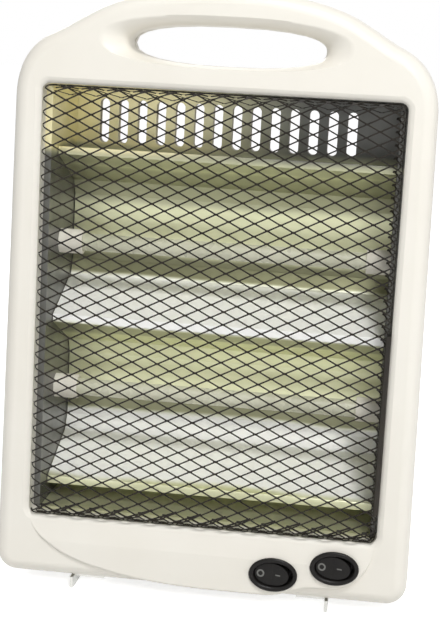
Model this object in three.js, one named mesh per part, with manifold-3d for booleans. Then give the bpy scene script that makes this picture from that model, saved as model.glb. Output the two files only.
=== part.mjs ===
// Two-bar quartz heater: a white moulded case with a carrying handle, a bent guard of expanded
// steel, a bright double-trough reflector, two quartz tubes and two rocker switches.
// Millimetres, +Z up. The heater faces -Y. Pieces are drawn from the middle of the window in its
// front plane, and the outer group stands the heater on its feet, centred on its depth.
import * as THREE from 'three';
import { mergeVertices } from 'three/addons/utils/BufferGeometryUtils.js';
import Module from 'manifold-3d';

const wasm = await Module();
wasm.setup();

// ---- driving dimensions -------------------------------------------------------------------
const fit = 0.3; // gap between pieces that seat on each other
const wall = 2.6; // moulded wall of both case halves

// case
const caseWidthBase = 268;
const caseTaper = 7; // how much narrower the case is at its shoulders
const caseHeight = 379;
const frameDepth = 30;
const caseDepth = 97;
const rimDepth = 42; // how far back the shallow top part with the handle reaches
const baseCorner = 14;
const frontRound = 9;
const frameDraft = 0.8;
const shoulderDrop = 71; // where the straight sides end, below the top of the handle
const shoulderIn = 26; // from the base's side in to where the shoulder turns into the hump
const shoulderTop = 31; // that point's drop below the top of the handle
const humpIn = 58;
const humpTop = 13;
const deepTopDrop = 52; // top of the cover's deep part, below the top of the handle
const deepCorner = 16;

// window and guard
const sideBorder = 22; // from the base's side to the window
const handleBorder = 62.2; // from the window up to the top of the handle
const windowAboveBase = 41.2;
const windowCorner = 5;
const windowChamfer = 2;
const windowCollar = 14; // depth of the collar behind the window's edge
const guardClearance = 0.4;
const guardProud = 3;
const guardBend = 5;
const guardSkirt = 6.3; // straight part of the guard's side behind the bend
const meshLong = 30;
const meshShort = 15;
const strandWidth = 1.8;
const strandThickness = 1.2;
const selvedgeWidth = 5.2;
const selvedgeTop = -4;
const selvedgeBottom = -118;

// hand hole in the handle
const holeBelowTop = 34.9;
const holeHalfWidth = 60.5;
const holeHalfHeight = 12.1;
const holeFlareWidth = 17.5;
const holeFlareHeight = 3.8;
const holeFlareRise = 2.2;
const holeFlareDepth = 12;
const holeRoundness = 2.5;
const holeFaces = 24;

// raised control panel and switches
const panelProud = 2;
const panelMargin = 4;
const panelSweep = 49; // where the panel's edge has nearly come down, in from the window's side
const panelFall = 27; // length of the sweep's pull above that place
const panelRun = 22; // and beyond it
const panelLevel = 34.5; // where the edge runs level, before the left switch's centre
const switchIn = 25; // right switch's centre, in from the window's side
const switchLeftAboveBase = 16.5;
const switchPitch = 38.5;
const switchRise = 7.8;
const bezelWidth = 31;
const bezelHeight = 22;
const bezelProud = 1.8;
const bezelRim = 2.6;
const bezelFaces = 18;
const housingDepth = 19;
const pocketWall = 0.9;
const rockerClearance = 0.3;
const rockerTilt = 10;
const rockerFront = 4.4; // reach of the rocker's ends in front of its pivot
const rockerHub = 2.8;
const pivotDepth = 5.2; // pivot axis behind the bezel's face
const pivotRadius = 1.2;
const running = 0.05; // radial clearance round pivot pins

// heating parts
const tubeOffCentre = 5.85; // each tube's centre, from its trough's middle towards the ridge
const ridgeZ = -14.2;
const tubeBefore = 36; // tube's centre, in front of the reflector's back
const tubeRadius = 5.6;
const tubeWall = 1.1;
const capRadius = 8;
const capLength = 26;
const capBeyond = 6.5; // outer face of a cap, beyond the window's edge
const capGrip = 10; // length of tube inside a cap
const capFaces = 14;
const coilRadius = 1.9;
const studRadius = 2;
const studLength = 5;

// sheet metal
const sheet = 1;
const shieldIn = 4; // inner face of a side shield, in from the window's edge
const troughFront = 32;
const troughBefore = 11; // reflector's back, in front of the cover's
const aboveTroughs = 45.3; // from the reflector's top fold to the window's edge
const troughNarrows = 60; // mouth less flat back
const troughKnee = 5;
const ridgeFace = 5;
const reflectorLip = 5;
const linerIn = 1.8; // the channel's flanges, in from the window's edge
const linerLip = 4;
const linerPostIn = 52; // posts for the liner's screws, in from the window's side
const linerPostBeyond = 8.2; // posts for the liner's screws, beyond the window's edge

// vents
const ventCount = 14;
const ventPitch = 12.8;
const ventOffCentre = -ventPitch / 2; // the row keeps clear of the wiring at the right
const ventWidth = 6.4;
const ventHeight = 29.4;
const ventBelowWindow = 25.2; // centre of the slots, below the window's top edge
const intakeCount = 8;
const intakeHeight = 16;
const intakeAboveBase = 37;

// feet
const footDrop = 8.5;
const footIn = 51; // a foot's plate, in from the base's side
const footPlate = 2;
const footFront = 4;
const footBack = 112;
const footFlange = 20;
const footFlangeIn = 8; // flange's front end behind the foot's, and its screws' edge distance
const footCorner = 3;

// screws
const screwRadius = 1.5;
const screwHeadRadius = 3.2;
const screwHeadHeight = 2.2;
const wellRadius = 3.8;
const wellDepthLeft = 8; // seat of a deep screw, behind the front frame's rim
const bossWall = 1.6;
const wellTopIn = 37; // upper screws, in from the base's side and below the handle's top
const wellTopDrop = 42;
const wellAboveTube = 41.5;
const wellLowAboveBase = 24;
const footScrewIn = 16; // foot screws, in from the cover's front and back

// inner parts
const tipX = -40;
const tipY = 62;
const tipWidth = 26;
const tipDepth = 28;
const tipHeight = 31;
const tipWall = 2;
const tipPinRadius = 1.5;
const bobDrop = 16;
const bobRadius = 5;
const cutoutY = 62;
const blockX = 20;
const blockY = 64;
const blockDepth = 16;
const blockHeight = 13;
const blockPitch = 12;
const glandX = 60;
const glandAboveBase = 19;
const glandBore = 6.2; // outside radius of the gland's shank
const glandCord = 3.2;

// ---- places worked out from them ----------------------------------------------------------
const windowHalfWidth = caseWidthBase / 2 - sideBorder;
const windowHalfHeight = (caseHeight - windowAboveBase - handleBorder) / 2;
const baseZ = -windowHalfHeight - windowAboveBase;
const topZ = baseZ + caseHeight;
const floorZ = baseZ - footDrop;
const holeZ = topZ - holeBelowTop;
const rearFace = caseDepth - wall;
const bossRadius = screwRadius + bossWall + 0.9;
const troughBack = caseDepth - troughBefore;
const linerBack = troughBack + sheet + fit;
const tubeY = troughBack - tubeBefore;
const shieldX = windowHalfWidth - shieldIn;
const capOut = windowHalfWidth + capBeyond;
const troughMouth = windowHalfHeight - aboveTroughs - ridgeZ - ridgeFace / 2;
const tubeRise = (troughMouth + ridgeFace) / 2 - tubeOffCentre;
const tubeZ = [ridgeZ + tubeRise, ridgeZ - tubeRise];
const linerHalfHeight = windowHalfHeight - linerIn;
const linerHalfWidth = windowHalfWidth;
const ventCentreZ = windowHalfHeight - ventBelowWindow;
const intakeCentreZ = baseZ + intakeAboveBase;
const footX = caseWidthBase / 2 - footIn;
const glandZ = baseZ + glandAboveBase;
const seatY = windowCollar + fit; // sheet metal seats behind the window's collar
const footScrewX = footX - footFlange * 0.55;
const sides = [['left', -1], ['right', 1]];
const rows = ['upper', 'lower'];

// ---- materials ----------------------------------------------------------------------------
const finish = (color, roughness, metalness) =>
  new THREE.MeshStandardMaterial({ color, roughness, metalness });
const whitePlastic = finish('#e6e2d6', 0.45, 0);
const blackPlastic = finish('#1b1b1c', 0.4, 0);
const blackSteel = finish('#1d1a18', 0.5, 0.4);
const brightSteel = finish('#c9c8b4', 0.18, 1);
const zincSteel = finish('#bfc0ba', 0.4, 0.9);
const quartz = finish('#eceae2', 0.15, 0);
const ceramic = finish('#efece4', 0.7, 0);
const brass = finish('#c2a25a', 0.35, 0.9);
const heatWire = finish('#6f6a66', 0.5, 0.8);

// ---- solids -------------------------------------------------------------------------------
// A closed mesh as a solid that can be joined and cut, and back again.
function toSolid(geometry) {
  const bare = geometry.clone();
  bare.deleteAttribute('normal');
  bare.deleteAttribute('uv');
  const merged = mergeVertices(bare, 1e-4);
  const corners = merged.index.array;
  const kept = [];
  for (let i = 0; i < corners.length; i += 3) {
    const [a, b, c] = corners.slice(i, i + 3);
    if (a !== b && b !== c && c !== a) kept.push(a, b, c);
  }
  return new wasm.Manifold(new wasm.Mesh({
    numProp: 3,
    vertProperties: new Float32Array(merged.attributes.position.array),
    triVerts: new Uint32Array(kept),
  }));
}

function toGeometry(solid) {
  const mesh = solid.getMesh();
  const geometry = new THREE.BufferGeometry();
  geometry.setAttribute('position', new THREE.BufferAttribute(new Float32Array(mesh.vertProperties), 3));
  geometry.setIndex(new THREE.BufferAttribute(new Uint32Array(mesh.triVerts), 1));
  geometry.computeVertexNormals();
  return geometry;
}

const join = (first, ...rest) => rest.reduce((all, next) => all.add(next), first);
const cut = (first, ...rest) => rest.reduce((all, next) => all.subtract(next), first);

// Loops of equal length, seen anticlockwise from the front, joined into one closed solid.
function loft(loops) {
  const count = loops[0].length;
  const index = [];
  for (let k = 0; k < loops.length - 1; k += 1) {
    for (let i = 0; i < count; i += 1) {
      const a = k * count + i;
      const b = k * count + ((i + 1) % count);
      index.push(a, a + count, b, b, a + count, b + count);
    }
  }
  const flat = (loop) => loop.map((point) => new THREE.Vector2(point.x, point.z));
  const last = (loops.length - 1) * count;
  for (const [a, b, c] of THREE.ShapeUtils.triangulateShape(flat(loops[0]), [])) index.push(a, b, c);
  for (const [a, b, c] of THREE.ShapeUtils.triangulateShape(flat(loops.at(-1)), [])) {
    index.push(last + c, last + b, last + a);
  }
  const geometry = new THREE.BufferGeometry().setFromPoints(loops.flat());
  geometry.setIndex(index);
  return toSolid(geometry);
}

const loopAt = (points, y) => points.map((point) => new THREE.Vector3(point.x, y, point.y));

// A front-view outline (x, z) carried from y0 back to y1.
const slab = (points, y0, y1) => loft([loopAt(points, y0), loopAt(points, y1)]);

// A side-view outline (y, z) carried across from x0 to x1.
function acrossX(points, x0, x1) {
  const shape = new THREE.Shape(points);
  const geometry = new THREE.ExtrudeGeometry(shape, { depth: x1 - x0, bevelEnabled: false });
  geometry.applyMatrix4(new THREE.Matrix4().set(0, 0, 1, x0, 1, 0, 0, 0, 0, 1, 0, 0, 0, 0, 0, 1));
  return toSolid(geometry);
}

function box(x0, x1, y0, y1, z0, z1) {
  const geometry = new THREE.BoxGeometry(x1 - x0, y1 - y0, z1 - z0);
  geometry.translate((x0 + x1) / 2, (y0 + y1) / 2, (z0 + z1) / 2);
  return toSolid(geometry);
}

// A turned solid: radii and heights along an axis through the point given.
function turned(profile, axis, x, y, z, segments = 20) {
  const points = profile.map(([radius, height]) => new THREE.Vector2(radius, height));
  const geometry = new THREE.LatheGeometry(points, segments);
  if (axis === 'x') geometry.rotateZ(-Math.PI / 2);
  if (axis === 'z') geometry.rotateX(Math.PI / 2);
  geometry.translate(x, y, z);
  return toSolid(geometry);
}

const rod = (radius, start, end, axis, x, y, z, segments) =>
  turned([[0, start], [radius, start], [radius, end], [0, end]], axis, x, y, z, segments);

// ---- outlines -----------------------------------------------------------------------------
// Moves each side of a closed outline inwards by the same distance.
function insetLoop(points, distance) {
  const count = points.length;
  return points.map((point, i) => {
    const before = points[(i + count - 1) % count];
    const after = points[(i + 1) % count];
    const first = point.clone().sub(before).normalize();
    const second = after.clone().sub(point).normalize();
    const inward = new THREE.Vector2(-first.y - second.y, first.x + second.x).normalize();
    const stretch = inward.dot(new THREE.Vector2(-first.y, first.x));
    return point.clone().addScaledVector(inward, distance / stretch);
  });
}

function sampled(path, curveSteps, arcSteps) {
  const points = [];
  for (const curve of path.curves) {
    const steps = curve.isLineCurve ? 1 : curve.isEllipseCurve ? arcSteps : curveSteps;
    points.push(...curve.getPoints(steps).slice(1));
  }
  return points.filter((point, i) => point.distanceTo(points.at(i - 1)) > 1e-3);
}

// The case from the front: straight tapered sides, round shoulders and the handle's hump.
function caseOutline() {
  const halfBase = caseWidthBase / 2;
  const halfShoulder = (caseWidthBase - caseTaper) / 2;
  const shoulderZ = topZ - shoulderDrop;
  const shoulderReach = halfBase - shoulderIn;
  const humpReach = halfBase - humpIn;
  const right = new THREE.Path();
  right.moveTo(0, baseZ);
  right.lineTo(halfBase - baseCorner, baseZ);
  right.absarc(halfBase - baseCorner, baseZ + baseCorner, baseCorner, -Math.PI / 2, 0, false);
  right.lineTo(halfShoulder, shoulderZ);
  right.bezierCurveTo(
    halfShoulder, shoulderZ + shoulderDrop * 0.27,
    halfShoulder - 8, topZ - shoulderTop - 7,
    shoulderReach, topZ - shoulderTop,
  );
  right.bezierCurveTo(
    shoulderReach - 10, topZ - shoulderTop + 4.5,
    humpReach + 13, topZ - humpTop - 6.5,
    humpReach, topZ - humpTop,
  );
  right.bezierCurveTo(humpReach - 19, topZ - humpTop * 0.34, humpReach * 0.42, topZ, 0, topZ);
  const half = sampled(right, 5, 5);
  const mirrored = half.slice(0, -1).reverse().map((point) => new THREE.Vector2(-point.x, point.y));
  return [...half, ...mirrored];
}

// A rectangle with round corners, anticlockwise, with the same number of points at any size.
function roundedRect(halfWidth, low, high, lowCorner, highCorner = lowCorner, steps = 4) {
  const path = new THREE.Path();
  path.moveTo(-halfWidth + lowCorner, low);
  path.lineTo(halfWidth - lowCorner, low);
  path.absarc(halfWidth - lowCorner, low + lowCorner, lowCorner, -Math.PI / 2, 0, false);
  path.lineTo(halfWidth, high - highCorner);
  path.absarc(halfWidth - highCorner, high - highCorner, highCorner, 0, Math.PI / 2, false);
  path.lineTo(-halfWidth + highCorner, high);
  path.absarc(-halfWidth + highCorner, high - highCorner, highCorner, Math.PI / 2, Math.PI, false);
  path.lineTo(-halfWidth, low + lowCorner);
  path.absarc(-halfWidth + lowCorner, low + lowCorner, lowCorner, Math.PI, Math.PI * 1.5, false);
  return sampled(path, 1, steps);
}

// A rounded oval between an ellipse and a rectangle.
function oval(x, z, halfWidth, halfHeight, roundness, count) {
  const points = [];
  for (let i = 0; i < count; i += 1) {
    const angle = (i / count) * Math.PI * 2;
    const c = Math.cos(angle);
    const s = Math.sin(angle);
    points.push(new THREE.Vector2(
      x + halfWidth * Math.sign(c) * Math.abs(c) ** (2 / roundness),
      z + halfHeight * Math.sign(s) * Math.abs(s) ** (2 / roundness),
    ));
  }
  return points;
}

function stadium(x, z, width, height, steps) {
  return roundedRect(width / 2, -height / 2, height / 2, width / 2, width / 2, steps)
    .map((point) => point.add(new THREE.Vector2(x, z)));
}

// ---- shared places ------------------------------------------------------------------------
const outline = caseOutline();
const switchAt = sides.map((_, k) => ({
  x: windowHalfWidth - switchIn - (1 - k) * switchPitch,
  z: baseZ + switchLeftAboveBase + k * switchRise,
}));
const wells = sides.flatMap(([side, sign]) => {
  const x = sign * (windowHalfWidth + wall + bossRadius + fit);
  const seat = frameDepth + wellDepthLeft;
  return [
    {
      name: `${side}_top`, x: sign * (caseWidthBase / 2 - wellTopIn), z: topZ - wellTopDrop,
      seat: rimDepth - wall,
    },
    { name: `${side}_middle`, x, z: tubeZ[0] + wellAboveTube, seat },
    { name: `${side}_low`, x, z: baseZ + wellLowAboveBase, seat },
  ];
});
const linerPostX = windowHalfWidth - linerPostIn;
const linerPosts = sides.flatMap(([side, sign]) => [
  { name: `${side}_top`, x: sign * linerPostX, z: windowHalfHeight + linerPostBeyond },
  { name: `${side}_low`, x: sign * linerPostX, z: -windowHalfHeight - linerPostBeyond },
]);
const footScrewY = [frameDepth + footScrewIn, caseDepth - footScrewIn];

function ventLoops(centreX, centreZ, height, count, pitch) {
  return Array.from({ length: count }, (_, k) =>
    stadium(centreX + (k - (count - 1) / 2) * pitch, centreZ, ventWidth, height, 1));
}

// The hand hole, widest at the front face and straight from the flare's depth on.
function handHole(grow, y0, y1) {
  const flare = [[1, 0], [0.62, 0.18], [0.27, 0.5], [0, 1]];
  const loops = flare.map(([share, depth]) => loopAt(oval(
    0, holeZ + share * holeFlareRise,
    holeHalfWidth + share * holeFlareWidth + grow,
    holeHalfHeight + share * holeFlareHeight + grow, holeRoundness, holeFaces,
  ), depth * holeFlareDepth));
  loops[0].forEach((point) => point.setY(y0));
  const straight = [holeHalfWidth + grow, holeHalfHeight + grow];
  loops.push(loopAt(oval(0, holeZ, ...straight, holeRoundness, holeFaces), y1));
  return loft(loops);
}

// ---- case ---------------------------------------------------------------------------------
// The raised control panel's edge: it sweeps from the window's corner under both switches.
function panelOutline(inset) {
  const edge = windowHalfWidth + 1;
  const top = -windowHalfHeight + 4;
  const [low, high] = switchAt;
  const underLow = low.z - bezelHeight / 2 - panelMargin;
  const underHigh = high.z - bezelHeight / 2 - panelMargin;
  const path = new THREE.Path();
  const sweep = panelSweep - edge;
  path.moveTo(-edge, top);
  path.bezierCurveTo(-edge + 3, top - 18, sweep - panelFall, underLow + 13, sweep, underLow + 7.6);
  path.bezierCurveTo(
    sweep + panelRun, underLow + 2.4, sweep + panelRun * 2, underLow, low.x - panelLevel, underLow,
  );
  path.lineTo(low.x - 8, underLow);
  path.bezierCurveTo(low.x + 10, underLow, low.x + 12, underHigh, high.x - 8, underHigh);
  path.bezierCurveTo(high.x + 12, underHigh, high.x + 19, underHigh + 9, edge - 3, high.z + 8);
  path.lineTo(edge, top);
  return insetLoop([new THREE.Vector2(-edge, top), ...sampled(path, 4, 1)], inset);
}

function frontFrame() {
  const turn = [0, 40, 90].map((degrees) => THREE.MathUtils.degToRad(degrees));
  const skinLoops = turn.map((angle) => loopAt(
    insetLoop(outline, frameDraft + frontRound * (1 - Math.sin(angle))),
    frontRound * (1 - Math.cos(angle)),
  ));
  skinLoops.push(loopAt(outline, frameDepth));
  const hollow = loft([
    loopAt(insetLoop(outline, frameDraft + frontRound), wall),
    loopAt(insetLoop(outline, frameDraft + wall + 0.5), frontRound),
    loopAt(insetLoop(outline, wall), frameDepth + 1),
  ]);
  const collar = roundedRect(
    windowHalfWidth + wall, -windowHalfHeight - wall, windowHalfHeight + wall, windowCorner + wall,
  );
  const opening = roundedRect(windowHalfWidth, -windowHalfHeight, windowHalfHeight, windowCorner);
  const chamfered = insetLoop(opening, -windowChamfer);
  const panel = loft([
    loopAt(panelOutline(panelProud), -panelProud),
    loopAt(panelOutline(0), 0),
    loopAt(panelOutline(0), wall - 0.4),
  ]);
  const bosses = [
    ...wells.map(({ x, z }) => rod(bossRadius, wall / 2, frameDepth, 'y', x, 0, z, 8)),
    ...linerPosts.map(({ x, z }) => rod(bossRadius, wall / 2, windowCollar, 'y', x, 0, z, 8)),
  ];
  const pilots = [...wells, ...linerPosts]
    .map(({ x, z }) => rod(screwRadius + fit, wall * 2, frameDepth + 1, 'y', x, 0, z, 8));
  const housings = switchAt.map(({ x, z }) => slab(
    oval(x, z, bezelWidth / 2 - bezelRim + fit, bezelHeight / 2 - bezelRim + fit, 2, bezelFaces),
    -panelProud - 1, housingDepth,
  ));
  return cut(
    join(
      loft(skinLoops).subtract(hollow),
      handHole(wall, wall / 2, frameDepth),
      slab(collar, wall / 2, windowCollar),
      panel,
      ...bosses,
    ),
    handHole(0, -1, frameDepth + 1),
    loft([loopAt(chamfered, -panelProud - 1), loopAt(chamfered, 0), loopAt(opening, windowChamfer),
      loopAt(opening, windowCollar + 1)]),
    ...pilots,
    ...housings,
  );
}

// The deep part of the rear cover behind the window, with draft and a rounded back edge.
function deepLoops(grow, start, end) {
  const halfBase = caseWidthBase / 2;
  const top = topZ - deepTopDrop;
  const steps = [[start, 4, 0, 0], [end - 9, 8.2, 4.5, 0], [end - 3, 11, 7.5, 3], [end, 16, 13, 7]];
  return steps.map(([y, sideIn, topIn, baseIn]) => loopAt(roundedRect(
    halfBase - sideIn - grow, baseZ + baseIn + grow, top - topIn - grow,
    baseCorner - grow, deepCorner - grow,
  ), y));
}

function rearCover() {
  const start = frameDepth + fit;
  const rim = loft([
    loopAt(outline, start),
    loopAt(insetLoop(outline, 0.8), rimDepth - 5),
    loopAt(insetLoop(outline, 2.6), rimDepth - 1.5),
    loopAt(insetLoop(outline, 5.5), rimDepth),
  ]);
  const rimHollow = loft([
    loopAt(insetLoop(outline, wall), start - 1),
    loopAt(insetLoop(outline, wall + 1.2), rimDepth - wall - 2),
    loopAt(insetLoop(outline, wall + 4), rimDepth - wall),
  ]);
  const outer = loft(deepLoops(0, start, caseDepth)).add(rim);
  const hole = (grow) => oval(
    0, holeZ, holeHalfWidth + grow, holeHalfHeight + grow * 0.6, holeRoundness, holeFaces,
  );
  const towers = wells.map(({ x, z }) => rod(wellRadius + bossWall, start, caseDepth + 1, 'y', x, 0, z, 10));
  const footPlaces = sides.flatMap(([, sign]) => footScrewY.map((y) => [sign * footScrewX, y, 0]));
  const inner = join(
    slab(hole(wall / 0.6), start, rimDepth + 1),
    ...towers,
    ...footPlaces.map((place) => rod(bossRadius, baseZ - 1, baseZ + 10, 'z', ...place, 8)),
  );
  const vents = [
    ...ventLoops(ventOffCentre, ventCentreZ, ventHeight, ventCount, ventPitch),
    ...ventLoops(0, intakeCentreZ, intakeHeight, intakeCount, ventPitch * 2),
  ];
  return cut(
    cut(outer, loft(deepLoops(wall, start - 1, rearFace)), rimHollow).add(inner.intersect(outer)),
    loft([
      loopAt(hole(0), start - 1),
      loopAt(hole(0), rimDepth - 5),
      loopAt(hole(3.5), rimDepth + 1),
    ]),
    ...wells.map(({ x, z, seat }) => rod(wellRadius, seat, caseDepth + 2, 'y', x, 0, z, 12)),
    ...wells.map(({ x, z, seat }) => rod(screwRadius + fit, start - 1, seat + 1, 'y', x, 0, z, 8)),
    ...footPlaces.map((place) => rod(screwRadius + fit, baseZ - 1, baseZ + 8, 'z', ...place, 8)),
    ...vents.map((loop) => slab(loop, rearFace - 4, caseDepth + 1)),
    rod(glandBore + fit, rearFace - 2, caseDepth + 1, 'y', glandX, 0, glandZ, 12),
  );
}

// ---- guard --------------------------------------------------------------------------------
// Expanded steel: long diamonds whose strands meet edge to edge, bent back along all four sides.
// Flat places (u, v) and a height w towards the viewer are wrapped round the guard's bend.
const guardMid = -guardProud + strandThickness / 2;
const guardCoreU = windowHalfWidth - guardClearance - strandThickness / 2 - guardBend;
const guardCoreV = windowHalfHeight - guardClearance - strandThickness / 2 - guardBend;
const guardQuarter = guardBend * Math.PI / 2;

function wrapped(u, v, w) {
  const overU = Math.max(Math.abs(u) - guardCoreU, 0);
  const overV = Math.max(Math.abs(v) - guardCoreV, 0);
  const over = Math.hypot(overU, overV);
  const turn = Math.min(over / guardBend, Math.PI / 2);
  const share = over > 0 ? ((guardBend + w) * Math.sin(turn)) / over : 0;
  const depth = guardBend - (guardBend + w) * Math.cos(turn) + Math.max(over - guardQuarter, 0);
  return new THREE.Vector3(
    Math.sign(u) * (Math.min(Math.abs(u), guardCoreU) + overU * share),
    guardMid + depth,
    Math.sign(v) * (Math.min(Math.abs(v), guardCoreV) + overV * share),
  );
}

function guardMesh() {
  const alongRise = new THREE.Vector2(meshLong, meshShort).normalize();
  const alongFall = new THREE.Vector2(alongRise.x, -alongRise.y);
  const half = strandWidth / (4 * alongRise.x * alongRise.y);
  const lift = strandThickness / 2;
  const reachesU = guardCoreU + guardQuarter + guardSkirt;
  const reachesV = guardCoreV + guardQuarter + guardSkirt;
  const columns = Math.floor(reachesU / (meshLong / 2));
  const lines = Math.floor(reachesV / (meshShort / 2));
  const knots = new Map();
  for (let i = -columns; i <= columns; i += 1) {
    for (let j = -lines; j <= lines; j += 1) {
      const u = (i * meshLong) / 2;
      const v = (j * meshShort) / 2;
      const over = Math.hypot(Math.max(Math.abs(u) - guardCoreU, 0), Math.max(Math.abs(v) - guardCoreV, 0));
      if ((i + j) % 2 === 0 && over <= guardQuarter + guardSkirt) knots.set(`${i},${j}`, { i, j, u, v });
    }
  }
  const points = [];
  const index = [];
  for (const knot of knots.values()) {
    knot.front = points.length;
    for (const [way, height] of [[alongRise, lift], [alongFall, -lift]]) {
      points.push(wrapped(knot.u - half * way.x, knot.v - half * way.y, height));
      points.push(wrapped(knot.u + half * way.x, knot.v + half * way.y, height));
    }
  }
  // Each knot is a tetrahedron: its front edge 0-1 lies along the rising strand, its back edge
  // 2-3 along the falling one, and each strand runs from face to face.
  const faces = [
    { step: [1, 1], open: [3, 2, 1], far: [3, 2, 0] },
    { step: [1, -1], open: [1, 0, 3], far: [1, 0, 2] },
    { step: [-1, -1], open: [2, 3, 0] },
    { step: [-1, 1], open: [0, 1, 2] },
  ];
  for (const knot of knots.values()) {
    for (const { step, open, far } of faces) {
      const next = knots.get(`${knot.i + step[0]},${knot.j + step[1]}`);
      if (!next) index.push(...open.map((corner) => knot.front + corner));
      if (!next || !far) continue;
      for (let k = 0; k < 3; k += 1) {
        const a = knot.front + open[k];
        const b = knot.front + open[(k + 1) % 3];
        const c = next.front + far[(k + 1) % 3];
        const d = next.front + far[k];
        index.push(a, b, c, a, c, d);
      }
    }
  }
  const lattice = new THREE.BufferGeometry().setFromPoints(points);
  lattice.setIndex(index);
  return toSolid(lattice).add(selvedge(lift + 0.1));
}

// The uncut strip of sheet along the guard's right bend.
function selvedge(lift) {
  const stops = Array.from({ length: 6 }, (_, k) => guardCoreU - 1 + k * (guardQuarter / 5));
  const across = [
    ...stops.map((u) => wrapped(u, 0, lift)),
    ...stops.toReversed().map((u) => wrapped(u, 0, -lift)),
  ];
  const shape = new THREE.Shape(across.map((point) => new THREE.Vector2(point.x, point.y)));
  const geometry = new THREE.ExtrudeGeometry(shape, {
    depth: selvedgeTop - selvedgeBottom, bevelEnabled: false,
  });
  geometry.translate(0, 0, selvedgeBottom);
  return toSolid(geometry);
}

// ---- sheet metal --------------------------------------------------------------------------
// A folded sheet seen from the side: the line given, thickened away from the viewer's left.
function folded(line, halfWidth) {
  const count = line.length;
  const back = line.map((point, i) => {
    const before = line[Math.max(i - 1, 0)];
    const after = line[Math.min(i + 1, count - 1)];
    const first = i > 0 ? point.clone().sub(before).normalize() : null;
    const second = i < count - 1 ? after.clone().sub(point).normalize() : null;
    const one = first ?? second;
    const two = second ?? first;
    const away = new THREE.Vector2(-one.y - two.y, one.x + two.x).normalize();
    return point.clone().addScaledVector(away, sheet / away.dot(new THREE.Vector2(-one.y, one.x)));
  });
  return acrossX([...line, ...back.toReversed()], -halfWidth, halfWidth);
}

// Two troughs, mirrored about the ridge between them, each with a flat back and two knees.
function reflector() {
  const ridge = ridgeFace / 2;
  const slope = troughNarrows / 2 - troughKnee * 2;
  const upper = [
    [troughFront, ridge],
    [troughBack - troughKnee, ridge + slope],
    [troughBack, ridge + slope + troughKnee * 2],
    [troughBack, ridge + troughMouth - slope - troughKnee * 2],
    [troughBack - troughKnee, ridge + troughMouth - slope],
    [troughFront, ridge + troughMouth],
    [troughFront, ridge + troughMouth + reflectorLip],
  ];
  const line = [
    ...upper.toReversed().map(([y, rise]) => new THREE.Vector2(y, ridgeZ + rise)),
    ...upper.map(([y, rise]) => new THREE.Vector2(y, ridgeZ - rise)),
  ];
  return folded(line, shieldX - fit);
}

// The channel behind and around the reflector, slotted like the rear cover.
function liner() {
  const corners = [
    [seatY, linerHalfHeight + linerLip],
    [seatY, linerHalfHeight],
    [linerBack, linerHalfHeight],
    [linerBack, -linerHalfHeight],
    [seatY, -linerHalfHeight],
    [seatY, -linerHalfHeight - linerLip],
  ];
  const channel = folded(corners.map(([y, z]) => new THREE.Vector2(y, z)), linerHalfWidth);
  const tabs = linerPosts.map(({ x, z }) => {
    const reach = Math.abs(z) + 4;
    const [low, high] = z > 0 ? [linerHalfHeight + 2, reach] : [-reach, -linerHalfHeight - 2];
    return box(x - 6, x + 6, seatY, seatY + sheet, low, high);
  });
  return cut(
    join(channel, ...tabs),
    ...ventLoops(ventOffCentre, ventCentreZ, ventHeight, ventCount, ventPitch)
      .map((loop) => slab(loop, linerBack - 1, linerBack + 2)),
    ...linerPosts.map(({ x, z }) => rod(screwRadius + fit, seatY - 1, seatY + 2, 'y', x, 0, z, 8)),
  );
}

function sideShield(sign) {
  const high = linerHalfHeight - fit;
  const span = (inner, outer) => (sign > 0 ? [inner, outer] : [-outer, -inner]);
  const flange = box(...span(shieldX, windowHalfWidth + wall), seatY, seatY + sheet, -high, high);
  const web = box(...span(shieldX, shieldX + sheet), seatY, linerBack - fit, -high, high);
  const holes = tubeZ.map((z) => rod(
    capRadius + fit, ...span(shieldX - 1, shieldX + sheet + 1), 'x', 0, tubeY, z, capFaces,
  ));
  return cut(join(flange, web), ...holes);
}

// ---- heating parts ------------------------------------------------------------------------
const capIn = capOut - capLength;
const tubeEnd = capIn + capGrip;
const mirrorProfile = (profile, sign) =>
  (sign > 0 ? profile : profile.map(([radius, at]) => [radius, -at]).toReversed());

function quartzTube(z) {
  return turned([
    [tubeRadius - tubeWall, -tubeEnd], [tubeRadius, -tubeEnd], [tubeRadius, tubeEnd],
    [tubeRadius - tubeWall, tubeEnd], [tubeRadius - tubeWall, -tubeEnd],
  ], 'x', 0, tubeY, z, capFaces);
}

function heatingElement(z) {
  return rod(coilRadius, -tubeEnd - fit, tubeEnd + fit, 'x', 0, tubeY, z, 10);
}

function tubeCap(sign, z) {
  const socket = tubeRadius + fit;
  const bore = studRadius + fit;
  return turned(mirrorProfile([
    [socket, capIn], [capRadius, capIn], [capRadius, capOut],
    [bore, capOut], [bore, tubeEnd + fit], [socket, tubeEnd + fit], [socket, capIn],
  ], sign), 'x', 0, tubeY, z, capFaces);
}

function tubeTerminal(sign, z) {
  const start = tubeEnd + fit * 2;
  const collar = capOut + fit;
  return turned(mirrorProfile([
    [0, start], [studRadius, start], [studRadius, collar], [studRadius * 1.8, collar],
    [studRadius * 1.8, collar + 1.2], [studRadius, collar + 1.2], [studRadius, collar + studLength],
    [0, collar + studLength],
  ], sign), 'x', 0, tubeY, z, 8);
}

// ---- switches -----------------------------------------------------------------------------
const bezelBack = -panelProud - fit;
const bezelFace = bezelBack - bezelProud;
const pivotY = bezelFace + pivotDepth;
const housingHalf = [bezelWidth / 2 - bezelRim, bezelHeight / 2 - bezelRim];
const pocketHalf = housingHalf.map((size) => size - pocketWall);
const pocketFloor = pivotY + rockerHub + 1.4;

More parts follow.
